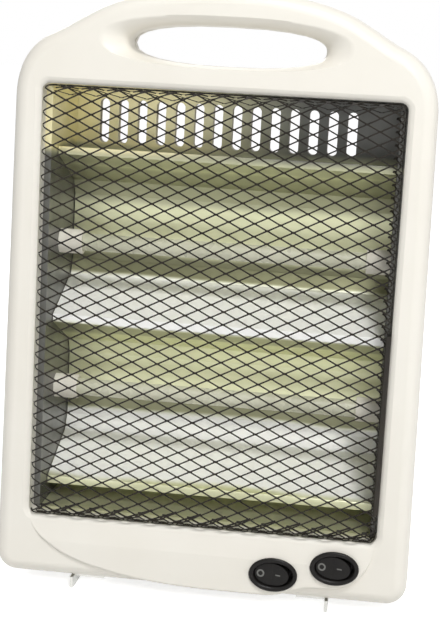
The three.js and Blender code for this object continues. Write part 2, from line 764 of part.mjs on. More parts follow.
function switchBody({ x, z }) {
  const rim = (shrink) => oval(x, z, bezelWidth / 2 - shrink, bezelHeight / 2 - shrink, 2, bezelFaces);
  return cut(
    join(
      loft([loopAt(rim(0.9), bezelFace), loopAt(rim(0), bezelFace + 0.7), loopAt(rim(0), bezelBack)]),
      slab(oval(x, z, ...housingHalf, 2, bezelFaces), bezelBack - 0.2, housingDepth),
    ),
    slab(oval(x, z, ...pocketHalf, 2, bezelFaces), bezelFace - 1, pocketFloor),
    rod(pivotRadius + running, z - bezelHeight, z + bezelHeight, 'z', x, pivotY, 0, 12),
  );
}

// A shallow V of a rocker, stored with its right end out.
function rocker({ x, z }) {
  const tilt = THREE.MathUtils.degToRad(rockerTilt);
  const halfLength = (pocketHalf[0] - rockerClearance - rockerFront * Math.sin(tilt)) / Math.cos(tilt);
  const halfHeight = pocketHalf[1] - rockerClearance;
  const dish = 1.1;
  const side = new THREE.Shape([
    new THREE.Vector2(-halfLength, -rockerFront), new THREE.Vector2(0, dish - rockerFront),
    new THREE.Vector2(halfLength, -rockerFront), new THREE.Vector2(halfLength * 0.93, 1.2),
    new THREE.Vector2(rockerHub, rockerHub), new THREE.Vector2(-rockerHub, rockerHub),
    new THREE.Vector2(-halfLength * 0.93, 1.2),
  ]);
  const prism = new THREE.ExtrudeGeometry(side, { depth: halfHeight * 2, bevelEnabled: false });
  prism.translate(0, 0, -halfHeight);
  return cut(
    toSolid(prism).intersect(slab(
      oval(0, 0, halfLength, halfHeight, 2, bezelFaces), -rockerFront - 1, rockerHub + 1,
    )),
    rod(pivotRadius + running, -halfHeight - 1, halfHeight + 1, 'z', 0, 0, 0, 12),
  ).rotate([0, 0, -rockerTilt]).translate([x, pivotY, z]);
}

function rockerPin({ x, z }) {
  const half = housingHalf[1] - 0.2;
  return rod(pivotRadius, z - half, z + half, 'z', x, pivotY, 0, 12);
}

function switchTab({ x, z }, sign) {
  const middle = x + sign * 5;
  return box(middle - 0.4, middle + 0.4, housingDepth + fit, housingDepth + 8, z - 3.15, z + 3.15);
}

// ---- tip-over switch ----------------------------------------------------------------------
const caseFloor = baseZ + wall + fit;
const tipPivotZ = caseFloor + tipHeight - 5;

function tipoverHousing() {
  const [w, d] = [tipWidth / 2, tipDepth / 2];
  return cut(
    box(tipX - w, tipX + w, tipY - d, tipY + d, caseFloor, caseFloor + tipHeight),
    box(
      tipX - w + tipWall, tipX + w - tipWall, tipY - d + tipWall, tipY + d - tipWall,
      caseFloor + tipWall, caseFloor + tipHeight + 1,
    ),
    rod(tipPinRadius + running, tipX - w - 1, tipX + w + 1, 'x', 0, tipY, tipPivotZ, 12),
  );
}

function tipoverPendulum() {
  const half = 5;
  const arm = box(tipX - half, tipX + half, tipY - 1.6, tipY + 1.6, tipPivotZ - bobDrop, tipPivotZ);
  return cut(
    join(
      rod(tipPinRadius + 1.8, tipX - half, tipX + half, 'x', 0, tipY, tipPivotZ, 12),
      arm,
      rod(bobRadius, tipX - half - 2, tipX + half + 2, 'x', 0, tipY, tipPivotZ - bobDrop, 14),
    ),
    rod(tipPinRadius + running, tipX - half - 1, tipX + half + 1, 'x', 0, tipY, tipPivotZ, 12),
  );
}

function tipoverPin() {
  return rod(tipPinRadius, tipX - tipWidth / 2, tipX + tipWidth / 2, 'x', 0, tipY, tipPivotZ, 12);
}

// ---- small inner parts --------------------------------------------------------------------
function thermalCutout() {
  const seat = shieldX + sheet + fit;
  return turned(mirrorProfile([
    [0, seat], [9, seat], [9, seat + 1.2], [7.5, seat + 1.2], [7.5, seat + 9], [0, seat + 9],
  ], -1), 'x', 0, cutoutY, ridgeZ, 14);
}

function terminalBlock() {
  const pitches = [-blockPitch, 0, blockPitch];
  const middle = caseFloor + blockHeight / 2;
  return cut(
    box(
      blockX - blockPitch * 1.5, blockX + blockPitch * 1.5, blockY - blockDepth / 2,
      blockY + blockDepth / 2, caseFloor, caseFloor + blockHeight,
    ),
    ...pitches.map((step) => rod(
      2, blockY - blockDepth, blockY + blockDepth, 'y', blockX + step, 0, middle, 8,
    )),
    ...pitches.map((step) => rod(
      1.8, middle, caseFloor + blockHeight + 1, 'z', blockX + step, blockY, 0, 8,
    )),
  );
}

function cableGland() {
  const seat = caseDepth + fit;
  const inner = rearFace - 9;
  return turned([
    [glandCord, inner], [glandBore, inner], [glandBore, seat], [glandBore + 3, seat],
    [glandBore + 3, seat + 3], [glandBore, seat + 9], [glandCord, seat + 10], [glandCord, inner],
  ], 'y', glandX, 0, glandZ, 12);
}

function glandNut() {
  const near = rearFace - fit;
  return cut(
    rod(glandBore + 3.5, near - 4, near, 'y', glandX, 0, glandZ, 6),
    rod(glandBore + fit, near - 5, near + 1, 'y', glandX, 0, glandZ, 12),
  );
}

// ---- feet and screws ----------------------------------------------------------------------
function foot(sign) {
  const top = baseZ - fit;
  const side = new THREE.Path();
  side.moveTo(footFront, top);
  side.lineTo(footFront, floorZ + footCorner);
  side.absarc(footFront + footCorner, floorZ + footCorner, footCorner, Math.PI, Math.PI * 1.5, false);
  side.lineTo(footBack - footCorner, floorZ);
  side.absarc(footBack - footCorner, floorZ + footCorner, footCorner, -Math.PI / 2, 0, false);
  side.lineTo(footBack, top - footPlate);
  side.lineTo(caseDepth, top);
  const web = acrossX(
    [new THREE.Vector2(footFront, top), ...sampled(side, 1, 4)],
    sign * footX - footPlate / 2, sign * footX + footPlate / 2,
  );
  const [near, far] = sign > 0 ? [footX - footFlange, footX] : [-footX, footFlange - footX];
  const flange = box(near, far, footFront + footFlangeIn, caseDepth - footFlangeIn, top - footPlate, top);
  return cut(
    web.add(flange),
    ...footScrewY.map((y) => rod(
      screwRadius + fit, top - footPlate - 1, top + 1, 'z', sign * footScrewX, y, 0, 8,
    )),
  );
}

// Shank from its tip to the seat, then the head, along an axis.
function screw(axis, x, y, z, tip, seat) {
  const way = Math.sign(seat - tip);
  const head = seat + way * screwHeadHeight;
  const profile = [
    [0, tip], [screwRadius, tip], [screwRadius, seat], [screwHeadRadius, seat],
    [screwHeadRadius, head], [0, head],
  ];
  return turned(way > 0 ? profile : profile.toReversed(), axis, x, y, z, 8);
}

// ---- assembly -----------------------------------------------------------------------------
const heater = new THREE.Group();
heater.name = 'quartz_heater';

function piece(name, solid, material) {
  const mesh = new THREE.Mesh(toGeometry(solid), material.clone());
  mesh.name = name;
  heater.add(mesh);
}

piece('front_frame', frontFrame(), whitePlastic);
piece('rear_cover', rearCover(), whitePlastic);
piece('guard_mesh', guardMesh(), blackSteel);
piece('reflector', reflector(), brightSteel);
piece('liner', liner(), brightSteel);
for (const [side, sign] of sides) {
  piece(`side_shield_${side}`, sideShield(sign), brightSteel);
  piece(`foot_${side}`, foot(sign), zincSteel);
  footScrewY.forEach((y, k) => piece(
    `foot_screw_${side}_${['front', 'back'][k]}`,
    screw('z', sign * footScrewX, y, 0, baseZ + 7, baseZ - fit * 2 - footPlate), zincSteel,
  ));
}
rows.forEach((row, k) => {
  piece(`quartz_tube_${row}`, quartzTube(tubeZ[k]), quartz);
  piece(`heating_element_${row}`, heatingElement(tubeZ[k]), heatWire);
  for (const [side, sign] of sides) {
    piece(`tube_cap_${row}_${side}`, tubeCap(sign, tubeZ[k]), ceramic);
    piece(`tube_terminal_${row}_${side}`, tubeTerminal(sign, tubeZ[k]), brass);
  }
});
sides.forEach(([side], k) => {
  piece(`switch_body_${side}`, switchBody(switchAt[k]), blackPlastic);
  piece(`rocker_${side}`, rocker(switchAt[k]), blackPlastic);
  piece(`rocker_pin_${side}`, rockerPin(switchAt[k]), zincSteel);
  piece(`switch_tab_${side}_in`, switchTab(switchAt[k], -1), brass);
  piece(`switch_tab_${side}_out`, switchTab(switchAt[k], 1), brass);
});
piece('tipover_housing', tipoverHousing(), blackPlastic);
piece('tipover_pendulum', tipoverPendulum(), zincSteel);
piece('tipover_pin', tipoverPin(), zincSteel);
piece('thermal_cutout', thermalCutout(), blackPlastic);
piece('terminal_block', terminalBlock(), ceramic);
piece('cable_gland', cableGland(), blackPlastic);
piece('gland_nut', glandNut(), blackPlastic);
for (const { name, x, z, seat } of wells) {
  piece(`case_screw_${name}`, screw('y', x, 0, z, wall * 3, seat + fit), zincSteel);
}
for (const { name, x, z } of linerPosts) {
  piece(`liner_screw_${name}`, screw('y', x, 0, z, wall * 2.4, seatY + sheet + fit), zincSteel);
}

// Stands the heater on its feet, with its depth centred.
const bounds = new THREE.Box3().setFromObject(heater);
heater.position.set(0, -(bounds.min.y + bounds.max.y) / 2, -bounds.min.z);
heater.updateMatrixWorld(true);

export default heater;
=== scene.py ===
import math

import bpy
from mathutils import Matrix, Vector


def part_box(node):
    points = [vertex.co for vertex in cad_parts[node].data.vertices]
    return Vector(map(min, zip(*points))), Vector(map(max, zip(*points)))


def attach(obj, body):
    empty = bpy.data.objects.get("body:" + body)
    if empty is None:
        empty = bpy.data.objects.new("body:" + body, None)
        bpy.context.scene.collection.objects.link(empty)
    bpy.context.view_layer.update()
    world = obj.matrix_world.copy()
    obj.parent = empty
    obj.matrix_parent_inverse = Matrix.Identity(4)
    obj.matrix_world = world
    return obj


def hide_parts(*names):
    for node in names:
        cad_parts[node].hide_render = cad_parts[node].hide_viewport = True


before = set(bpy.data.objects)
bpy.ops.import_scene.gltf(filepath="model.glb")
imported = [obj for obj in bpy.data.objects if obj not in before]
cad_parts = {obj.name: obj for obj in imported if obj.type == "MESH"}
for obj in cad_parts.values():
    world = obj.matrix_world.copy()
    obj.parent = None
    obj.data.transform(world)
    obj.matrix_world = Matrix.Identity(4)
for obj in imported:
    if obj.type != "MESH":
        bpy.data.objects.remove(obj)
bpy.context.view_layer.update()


# ---- Front frame --------------------------------------------------------------------------
# One white moulding: round shoulders, a carrying handle with a flared hand hole, the big
# window with its collar, and a raised control panel that sweeps under the two switches.
mm = 0.001
frame_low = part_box("front_frame")[0]
panel_proud = 2.0
base_drop = 179.0                       # case's underside below the window's middle
front_y = frame_low.y + panel_proud * mm
middle_z = frame_low.z + base_drop * mm


def place(x, y, z):
    """Millimetres from the window's middle, in its front plane, as a point of the frame."""
    return Vector((x * mm, front_y + y * mm, middle_z + z * mm))


def deselect():
    """Leaves edit mode and clears the selection."""
    if bpy.context.object and bpy.context.object.mode == "EDIT":
        bpy.ops.object.mode_set(mode="OBJECT")
    bpy.ops.object.select_all(action="DESELECT")


def activate(piece):
    """Makes a piece the only one selected, and the active one."""
    deselect()
    piece.select_set(True)
    bpy.context.view_layer.objects.active = piece
    return piece


def choose(piece, kind, keep):
    """Selects the vertices, edges or faces of the active piece for which keep is true."""
    bpy.ops.object.mode_set(mode="EDIT")
    bpy.ops.mesh.select_mode(type=kind)
    bpy.ops.mesh.select_all(action="DESELECT")
    bpy.ops.object.mode_set(mode="OBJECT")
    mesh = piece.data
    for part in {"VERT": mesh.vertices, "EDGE": mesh.edges, "FACE": mesh.polygons}[kind]:
        part.select = keep(part)
    bpy.ops.object.mode_set(mode="EDIT")


def settle(piece, name):
    """Names a piece and puts its place, turn and size into its mesh."""
    activate(piece)
    bpy.ops.object.transform_apply(location=True, rotation=True, scale=True)
    piece.name = name
    piece.data.name = name
    return piece


def apply_all(piece):
    """Applies a piece's modifiers in their order."""
    activate(piece)
    for modifier in list(piece.modifiers):
        bpy.ops.object.modifier_apply(modifier=modifier.name)
    return piece


def carve(piece, tool, operation="DIFFERENCE"):
    """Cuts a tool out of a piece, or joins it on, and throws the tool away."""
    modifier = piece.modifiers.new("carve", "BOOLEAN")
    modifier.operation = operation
    modifier.solver = "EXACT"
    modifier.object = tool
    apply_all(piece)
    bpy.data.objects.remove(tool)
    return piece


def soften(piece, degrees=35):
    """Smooth shading that breaks at real edges, with flat faces kept flat."""
    activate(piece)
    bpy.ops.object.shade_smooth_by_angle(angle=math.radians(degrees))
    weighted = piece.modifiers.new("weighted", "WEIGHTED_NORMAL")
    weighted.keep_sharp = True
    return apply_all(piece)


def drawn(name, knots, y, steps=12):
    """A closed Bezier outline seen from the front, filled with one face that looks forward.
    A knot is its point and its two handles, or a point alone on a straight run."""
    deselect()
    bpy.ops.curve.primitive_bezier_curve_add(location=(0, 0, 0))
    curve = bpy.context.object
    spline = curve.data.splines[0]
    spline.bezier_points.add(len(knots) - 2)
    spline.use_cyclic_u = True
    curve.data.resolution_u = steps
    for knot, (point, back, ahead) in zip(spline.bezier_points, knots):
        knot.handle_left_type = "FREE" if back else "VECTOR"
        knot.handle_right_type = "FREE" if ahead else "VECTOR"
        knot.co = place(point[0], y, point[1])
        knot.handle_left = place(back[0], y, back[1]) if back else knot.co
        knot.handle_right = place(ahead[0], y, ahead[1]) if ahead else knot.co
    bpy.ops.object.convert(target="MESH")
    piece = bpy.context.object
    bpy.ops.object.mode_set(mode="EDIT")
    bpy.ops.mesh.select_all(action="SELECT")
    bpy.ops.mesh.remove_doubles(threshold=0.00002)
    bpy.ops.mesh.edge_face_add()
    bpy.ops.object.mode_set(mode="OBJECT")
    if piece.data.polygons[0].normal.y > 0:
        bpy.ops.object.mode_set(mode="EDIT")
        bpy.ops.mesh.flip_normals()
        bpy.ops.object.mode_set(mode="OBJECT")
    piece.name = name
    return piece


def step_in(thickness, depth):
    """Insets the chosen front face and moves it forward, in millimetres."""
    bpy.ops.mesh.inset(thickness=max(thickness, 0.001) * mm, depth=depth * mm)


def close_back(piece):
    """Fills the open back edge and turns every face outwards."""
    bpy.ops.mesh.select_all(action="DESELECT")
    bpy.ops.mesh.select_mode(type="EDGE")
    bpy.ops.mesh.select_non_manifold()
    bpy.ops.mesh.edge_face_add()
    bpy.ops.mesh.select_all(action="SELECT")
    bpy.ops.mesh.normals_make_consistent(inside=False)
    bpy.ops.object.mode_set(mode="OBJECT")


def mirrored(half):
    """The other half of an outline's knots, for a shape that is the same left and right."""
    flip = lambda point: (-point[0], point[1]) if point else None
    return [(flip(point), flip(ahead), flip(back)) for point, back, ahead in reversed(half)]


case_top = 200.0
case_half_base, case_half_shoulder, shoulder_z = 134.0, 130.5, 129.0
corner, bow = 14.0, 14.0 * 0.5523
case_half = [
    ((case_half_base - corner, -base_drop), None, (case_half_base - corner + bow, -base_drop)),
    ((case_half_base, -base_drop + corner), (case_half_base, -base_drop + corner - bow), None),
    ((case_half_shoulder, shoulder_z), None, (case_half_shoulder, 148.2)),
    ((108, 169), (122.5, 162), (98, 173.5)),
    ((76, 187), (89, 180.5), (57, 195.6)),
]
case_crown = [((0, case_top), (31.9, case_top), (-31.9, case_top))]
case_knots = case_half + case_crown + mirrored(case_half)


def oval_tool(name, x, z, rings, roundness, count=96):
    """A closed oval solid through rings of (depth, half width, half height, rise)."""
    first_y, wide, high, rise = rings[0]
    deselect()
    bpy.ops.mesh.primitive_circle_add(
        vertices=count, radius=1, fill_type="NGON", rotation=(math.pi / 2, 0, 0))
    piece = settle(bpy.context.object, name)
    for vertex in piece.data.vertices:
        c, s = vertex.co.x, vertex.co.z
        power = 2 / roundness
        vertex.co = place(
            x + wide * math.copysign(abs(c) ** power, c), first_y,
            z + rise + high * math.copysign(abs(s) ** power, s))
    bpy.ops.object.mode_set(mode="EDIT")
    bpy.ops.mesh.select_all(action="SELECT")
    for (y0, w0, h0, r0), (y1, w1, h1, r1) in zip(rings, rings[1:]):
        bpy.ops.mesh.extrude_region_move(
            TRANSFORM_OT_translate={"value": (0, (y1 - y0) * mm, (r1 - r0) * mm)})
        bpy.ops.transform.resize(
            value=(w1 / w0, 1, h1 / h0), center_override=place(x, y1, z + r1))
    bpy.ops.mesh.select_all(action="SELECT")
    bpy.ops.mesh.normals_make_consistent(inside=False)
    bpy.ops.object.mode_set(mode="OBJECT")
    return piece


def round_box(name, half_x, low_z, high_z, y0, y1, radius, segments=8):
    """A block with its four front-to-back edges rounded, in millimetres."""
    deselect()
    bpy.ops.mesh.primitive_cube_add(
        size=1, location=place(0, (y0 + y1) / 2, (low_z + high_z) / 2),
        scale=(2 * half_x * mm, (y1 - y0) * mm, (high_z - low_z) * mm))
    piece = settle(bpy.context.object, name)
    ends = [v.co.y for v in piece.data.vertices]
    choose(piece, "EDGE", lambda edge: abs(
        ends[edge.vertices[0]] - ends[edge.vertices[1]]) > abs(y1 - y0) * mm * 0.9)
    bpy.ops.mesh.bevel(offset=radius * mm, segments=segments, affect="EDGES")
    bpy.ops.object.mode_set(mode="OBJECT")
    return piece


hole_z, hole_wide, hole_high = 165.1, 60.5, 12.1
flare_wide, flare_high, flare_rise, hole_roundness = 17.5, 3.8, 2.2, 2.5
flare_steps = [                         # share of the flare at each depth
    (-4, 1.30), (0, 1.0), (0.9, 0.8), (2.2, 0.6), (4, 0.4), (6.2, 0.22), (9, 0.08), (12, 0)]


def hand_hole_tool(name, grow, y1):
    """The hand hole and its flare, grown by a wall, from the front back to y1."""
    wide, high = hole_wide + grow, hole_high + grow
    rings = [(y, wide + flare_wide * share, high + flare_high * share, flare_rise * share)
             for y, share in flare_steps]
    return oval_tool(name, 0, hole_z, rings + [(y1, wide, high, 0)], hole_roundness)


window_half_x, window_half_z, window_corner = 112.0, 137.8, 5.0
wall, collar_back = 2.6, 14.0
front_round, frame_depth, frame_draft = 9.0, 30.0, 0.8
hollow_draft, hollow_round = 1.3, 6.0
front_frame = drawn("front_frame_skin", case_knots, frame_depth)
choose(front_frame, "FACE", lambda face: True)
step_in(frame_draft, frame_depth - front_round)
turns = [math.radians(15 * k) for k in range(7)]
for before, after in zip(turns, turns[1:]):
    step_in(front_round * (math.cos(before) - math.cos(after)),
            front_round * (math.sin(after) - math.sin(before)))
close_back(front_frame)

hollow = drawn("frame_hollow", case_knots, frame_depth + 1)
choose(hollow, "FACE", lambda face: True)
step_in(wall, 0)
bpy.ops.mesh.select_all(action="INVERT")
bpy.ops.mesh.delete(type="FACE")
bpy.ops.mesh.select_all(action="SELECT")
step_in(hollow_draft, frame_depth - front_round + 1)
step_in(hollow_round, front_round - wall)
close_back(hollow)
carve(front_frame, hollow)

carve(front_frame, round_box(
    "frame_collar", window_half_x + wall, -window_half_z - wall, window_half_z + wall,
    wall / 2, collar_back, window_corner + wall), "UNION")
sleeve = hand_hole_tool("handle_sleeve", wall, frame_depth)
activate(sleeve)
bpy.ops.object.mode_set(mode="EDIT")
bpy.ops.mesh.select_all(action="SELECT")
bpy.ops.mesh.bisect(
    plane_co=place(0, wall / 2, 0), plane_no=(0, 1, 0), clear_inner=True, use_fill=True)
bpy.ops.object.mode_set(mode="OBJECT")
carve(front_frame, sleeve, "UNION")

switch_places = [(48.5, -162.5), (87.0, -154.7)]
switch_hole = (13.2, 8.7)
below_switch = 15
panel_low = switch_places[0][1] - below_switch
panel_high = switch_places[1][1] - below_switch
panel_knots = [
    ((-113, -133.8), None, (-110, -151.8)),
    ((-64, panel_low + 7.6), (-91, panel_low + 13), (-42, panel_low + 2.4)),
    ((14, panel_low), (-20, panel_low), None),
    ((40.5, panel_low), None, (58.5, panel_low)),
    ((79, panel_high), (60.5, panel_high), (99, panel_high)),
    ((110, -146.7), (106, panel_high + 9), None),
    ((113, -133.8), None, None),
]
panel_edge = [                          # inset and rise of each step round its edge
    (0.0, 1.0), (0.25, 0.9), (0.45, 0.6), (0.6, 0.35), (0.7, 0.15)]
panel = drawn("panel", panel_knots, 1.0, 16)
choose(panel, "FACE", lambda face: True)
for inset, rise in panel_edge:
    step_in(inset, rise)
close_back(panel)
carve(front_frame, panel, "UNION")

window_edge = [                         # from depth, to depth, and how much wider it gets
    (2.0, 1.0, 0.2), (1.0, 0.3, 0.45), (0.3, 0.0, 0.6), (0.0, -4, 0.05)]
opening = round_box(
    "window_tool", window_half_x, -window_half_z, window_half_z, 2.0, 20, window_corner)
choose(opening, "FACE", lambda face: face.normal.y < -0.9)
for y0, y1, grow in window_edge:
    bpy.ops.mesh.inset(thickness=grow * mm, depth=(y0 - y1) * mm, use_outset=True)
bpy.ops.object.mode_set(mode="OBJECT")
carve(front_frame, opening)
carve(front_frame, hand_hole_tool("hand_hole", 0, frame_depth + 1))
for x, z in switch_places:
    carve(front_frame, oval_tool(
        "switch_hole", x, z, [(-4, *switch_hole, 0), (20, *switch_hole, 0)], 2))
soften(front_frame)
front_frame.name = front_frame.data.name = "front_moulding"


def new_group(name, inputs, outputs):
    """An empty shader group with number inputs and named outputs."""
    group = bpy.data.node_groups.new(name, "ShaderNodeTree")
    for label, value in inputs:
        socket = group.interface.new_socket(label, in_out="INPUT", socket_type="NodeSocketFloat")
        socket.default_value = value
    for label in outputs:
        group.interface.new_socket(label, in_out="OUTPUT", socket_type="NodeSocketFloat")
    return group, group.nodes.new("NodeGroupInput"), group.nodes.new("NodeGroupOutput")


def noise(tree, scale, detail=2.0, stretch=(1, 1, 1)):
    """Noise on the piece's own coordinates; its scale is in waves per metre or a socket."""
    spot = tree.nodes.new("ShaderNodeTexCoord")
    mapping = tree.nodes.new("ShaderNodeMapping")
    mapping.inputs["Scale"].default_value = stretch
    tree.links.new(spot.outputs["Object"], mapping.inputs["Vector"])
    pattern = tree.nodes.new("ShaderNodeTexNoise")
    pattern.inputs["Detail"].default_value = detail
    tree.links.new(mapping.outputs["Vector"], pattern.inputs["Vector"])
    if isinstance(scale, (int, float)):
        pattern.inputs["Scale"].default_value = scale
    else:
        tree.links.new(scale, pattern.inputs["Scale"])
    return pattern.outputs["Fac"]


def spread(tree, value, low, high):
    """Stretches a noise value's middle range over the range given."""
    reach = tree.nodes.new("ShaderNodeMapRange")
    reach.inputs["From Min"].default_value = 0.3
    reach.inputs["From Max"].default_value = 0.7
    reach.inputs["To Min"].default_value = low
    reach.inputs["To Max"].default_value = high
    tree.links.new(value, reach.inputs["Value"])
    return reach.outputs["Result"]


grain_group, grain_in, grain_out = new_group(
    "moulded grain", [("Grain", 1400.0), ("Patch", 18.0)], ["Height", "Tone", "Gloss"])
for scale, detail, label in ((grain_in.outputs["Grain"], 1.0, "Height"),
                             (grain_in.outputs["Patch"], 3.0, "Tone"), (90.0, 2.0, "Gloss")):
    grain_group.links.new(noise(grain_group, scale, detail), grain_out.inputs[label])


def group_in(tree, group, **values):
    """A shader group's node in a material, with its inputs set."""
    node = tree.nodes.new("ShaderNodeGroup")
    node.node_tree = group
    for label, value in values.items():
        node.inputs[label].default_value = value
    return node


def two_tones(tree, mask, first, second):
    """A colour between two colours or colour sockets, by a mask."""
    mix = tree.nodes.new("ShaderNodeMix")
    mix.data_type = "RGBA"
    for label, colour in (("A", first), ("B", second)):
        if isinstance(colour, tuple):
            mix.inputs[label].default_value = (*colour, 1)
        else:
            tree.links.new(colour, mix.inputs[label])
    tree.links.new(mask, mix.inputs["Factor"])
    return mix.outputs["Result"]


def mottled(tree, value, first, second):
    """A colour that wanders between two with a noise value."""
    return two_tones(tree, spread(tree, value, 0, 1), first, second)


def finish_of(name, **constants):
    """A new material, with the numbers that are the same all over it."""
    material = bpy.data.materials.new(name)
    material.use_nodes = True
    shader = material.node_tree.nodes["Principled BSDF"]
    for label, value in constants.items():
        shader.inputs[label.replace("_", " ")].default_value = value
    return material, material.node_tree, shader


def dress(tree, shader, colour, gloss, height, strength, distance):
    """Links a colour, a roughness and a fine relief to the shader."""
    tree.links.new(colour, shader.inputs["Base Color"])
    tree.links.new(gloss, shader.inputs["Roughness"])
    relief = tree.nodes.new("ShaderNodeBump")
    relief.inputs["Strength"].default_value = strength
    relief.inputs["Distance"].default_value = distance * mm
    tree.links.new(height, relief.inputs["Height"])
    tree.links.new(relief.outputs["Normal"], shader.inputs["Normal"])


def wear(piece, material):
    """Gives a piece made here its finish."""
    piece.data.materials.clear()
    piece.data.materials.append(material)


white_plastic, tree, shader = finish_of("warm_white_plastic", Specular_IOR_Level=0.45)
grain = group_in(tree, grain_group, Grain=1500.0, Patch=16.0)
dress(tree, shader,
      mottled(tree, grain.outputs["Tone"], (0.755, 0.73, 0.665), (0.73, 0.70, 0.63)),
      spread(tree, grain.outputs["Gloss"], 0.36, 0.46), grain.outputs["Height"], 0.12, 0.05)
wear(front_frame, white_plastic)
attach(front_frame, "case")
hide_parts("front_frame")


# ---- Rear cover ---------------------------------------------------------------------------
# The back half of the case, moulded in the same white plastic: a shallow rim that closes the
# handle and a deep box behind the window, slotted for air and screwed to the front frame.
def move(piece, offset):
    """Moves a piece's mesh by a vector."""
    piece.data.transform(Matrix.Translation(offset))


def copy_of(piece, name):
    """A free copy of a piece with a mesh of its own."""
    double = piece.copy()
    double.data = piece.data.copy()
    double.parent = None
    double.name = double.data.name = name
    bpy.context.scene.collection.objects.link(double)
    return double


def repeat(piece, offset, count):
    """Adds copies of a piece's mesh in a row, each moved on by the offset."""
    row = piece.modifiers.new("row", "ARRAY")
    row.use_relative_offset = False
    row.use_constant_offset = True
    row.constant_offset_displace = offset
    row.count = count


def merged_copy(node, name):
    """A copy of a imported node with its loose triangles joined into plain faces."""
    piece = activate(copy_of(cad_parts[node], name))
    bpy.ops.object.mode_set(mode="EDIT")
    bpy.ops.mesh.select_all(action="SELECT")
    bpy.ops.mesh.remove_doubles(threshold=0.000002)
    bpy.ops.mesh.dissolve_limited(angle_limit=math.radians(0.5))
    bpy.ops.object.mode_set(mode="OBJECT")
    return settle(piece, name)


vent_x, vent_z, vent_pitch, vent_count = -6.4, 112.6, 12.8, 14
vent_half_wide, vent_half_high = 3.25, 14.75
through_cover = (92, 99)                # depths between which the slots' cutter reaches


def vent_tool(y0, y1):
    """The row of upright slots with round ends, as one cutter."""
    slots = round_box(
        "vent_tool", vent_half_wide, vent_z - vent_half_high, vent_z + vent_half_high,
        y0, y1, vent_half_wide - 0.01, 10)
    move(slots, Vector(((vent_x - (vent_count - 1) / 2 * vent_pitch) * mm, 0, 0)))
    repeat(slots, (vent_pitch * mm, 0, 0), vent_count)
    return apply_all(slots)


rear_cover = carve(merged_copy("rear_cover", "rear_moulding"), vent_tool(*through_cover))
soften(rear_cover, 30)
wear(rear_cover, white_plastic)
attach(rear_cover, "case")
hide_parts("rear_cover")


# ---- Guard --------------------------------------------------------------------------------
# Black enamelled expanded steel: one sheet slit and pulled into long diamonds, bent back along
# all four edges and turned in double there, with its uncut strip at the right. It sits in the
# window's collar.
diamond_long, diamond_short = 16.0, 8.0
strand_wide, strand_thick, strand_twist = 0.84, 0.42, 24
guard_proud, guard_bend, guard_skirt, guard_gap = 3.0, 4.0, 9.5, 1.1
mesh_inset = 0.62                       # the mesh's middle, behind the guard's foremost point
guard_mid = -guard_proud + mesh_inset
core_x = window_half_x - guard_gap - guard_bend
core_z = window_half_z - guard_gap - guard_bend
quarter = guard_bend * math.pi / 2
selvedge_start, selvedge_wide, selvedge_thick, selvedge_proud = 1.6, 9.5, 1.0, 0.45
selvedge_mid, selvedge_long = -61, 114


def strand(name, x0, z0, x1, z1, wide, cuts):
    """A bar between two points of the flat sheet, turned a little about its own length."""
    deselect()
    length = math.hypot(x1 - x0, z1 - z0)
    bpy.ops.mesh.primitive_cube_add(size=1, scale=(length * mm, strand_thick * mm, wide * mm))
    piece = settle(bpy.context.object, name)
    along = [vertex.co.x for vertex in piece.data.vertices]
    choose(piece, "EDGE", lambda edge: abs(
        along[edge.vertices[0]] - along[edge.vertices[1]]) > length * mm / 2)
    if cuts:
        bpy.ops.mesh.subdivide(number_cuts=cuts)
    bpy.ops.object.mode_set(mode="OBJECT")
    slant = Matrix.Rotation(-math.atan2(z1 - z0, x1 - x0), 4, "Y")
    piece.data.transform(slant @ Matrix.Rotation(math.radians(strand_twist), 4, "X"))
    move(piece, Vector(((x0 + x1) / 2 * mm, 0, (z0 + z1) / 2 * mm)))
    return piece


def as_one(name, pieces):
    """Joins pieces into one."""
    deselect()
    for piece in pieces:
        piece.select_set(True)
    bpy.context.view_layer.objects.active = pieces[0]
    bpy.ops.object.join()
    pieces[0].name = pieces[0].data.name = name
    return pieces[0]


half_long, half_short = diamond_long / 2, diamond_short / 2
bond, knot_share = 1.5, 1.65            # half length of a knot, and its width in strands
run_in, run_off = bond * 0.6, 0.42      # where a strand leaves its knot
knot_and_strands = as_one("guard_unit", [
    strand("knot", -bond, 0, bond, 0, strand_wide * knot_share, 0),
    strand("rising", run_in, run_off, half_long - run_in, half_short - run_off, strand_wide, 2),
    strand("falling", run_in, -run_off, half_long - run_in, run_off - half_short, strand_wide, 2),
])
across = int((core_x + quarter + guard_skirt) // diamond_long)
upwards = int((core_z + quarter + guard_skirt) // diamond_short)
second_row = copy_of(knot_and_strands, "second_row")
move(second_row, Vector((half_long * mm, 0, half_short * mm)))
guard = as_one("guard_unit", [knot_and_strands, second_row])
move(guard, Vector((-across * diamond_long * mm, 0, -upwards * diamond_short * mm)))
repeat(guard, (diamond_long * mm, 0, 0), across * 2 + 1)
repeat(guard, (0, 0, diamond_short * mm), upwards * 2 + 1)
apply_all(guard)


def beyond(point):
    """How far a place of the flat sheet lies past the start of the guard's bend."""
    return math.hypot(max(abs(point.x) / mm - core_x, 0), max(abs(point.z) / mm - core_z, 0))


turned_in = copy_of(guard, "turned_in_edge")
move(turned_in, Vector((half_long * mm, 0, 0)))
for lattice, first in ((guard, -1), (turned_in, quarter * 0.5)):
    activate(lattice)
    choose(lattice, "VERT", lambda vertex: not first < beyond(vertex.co) < quarter + guard_skirt)
    bpy.ops.mesh.delete(type="VERT")
    bpy.ops.object.mode_set(mode="OBJECT")


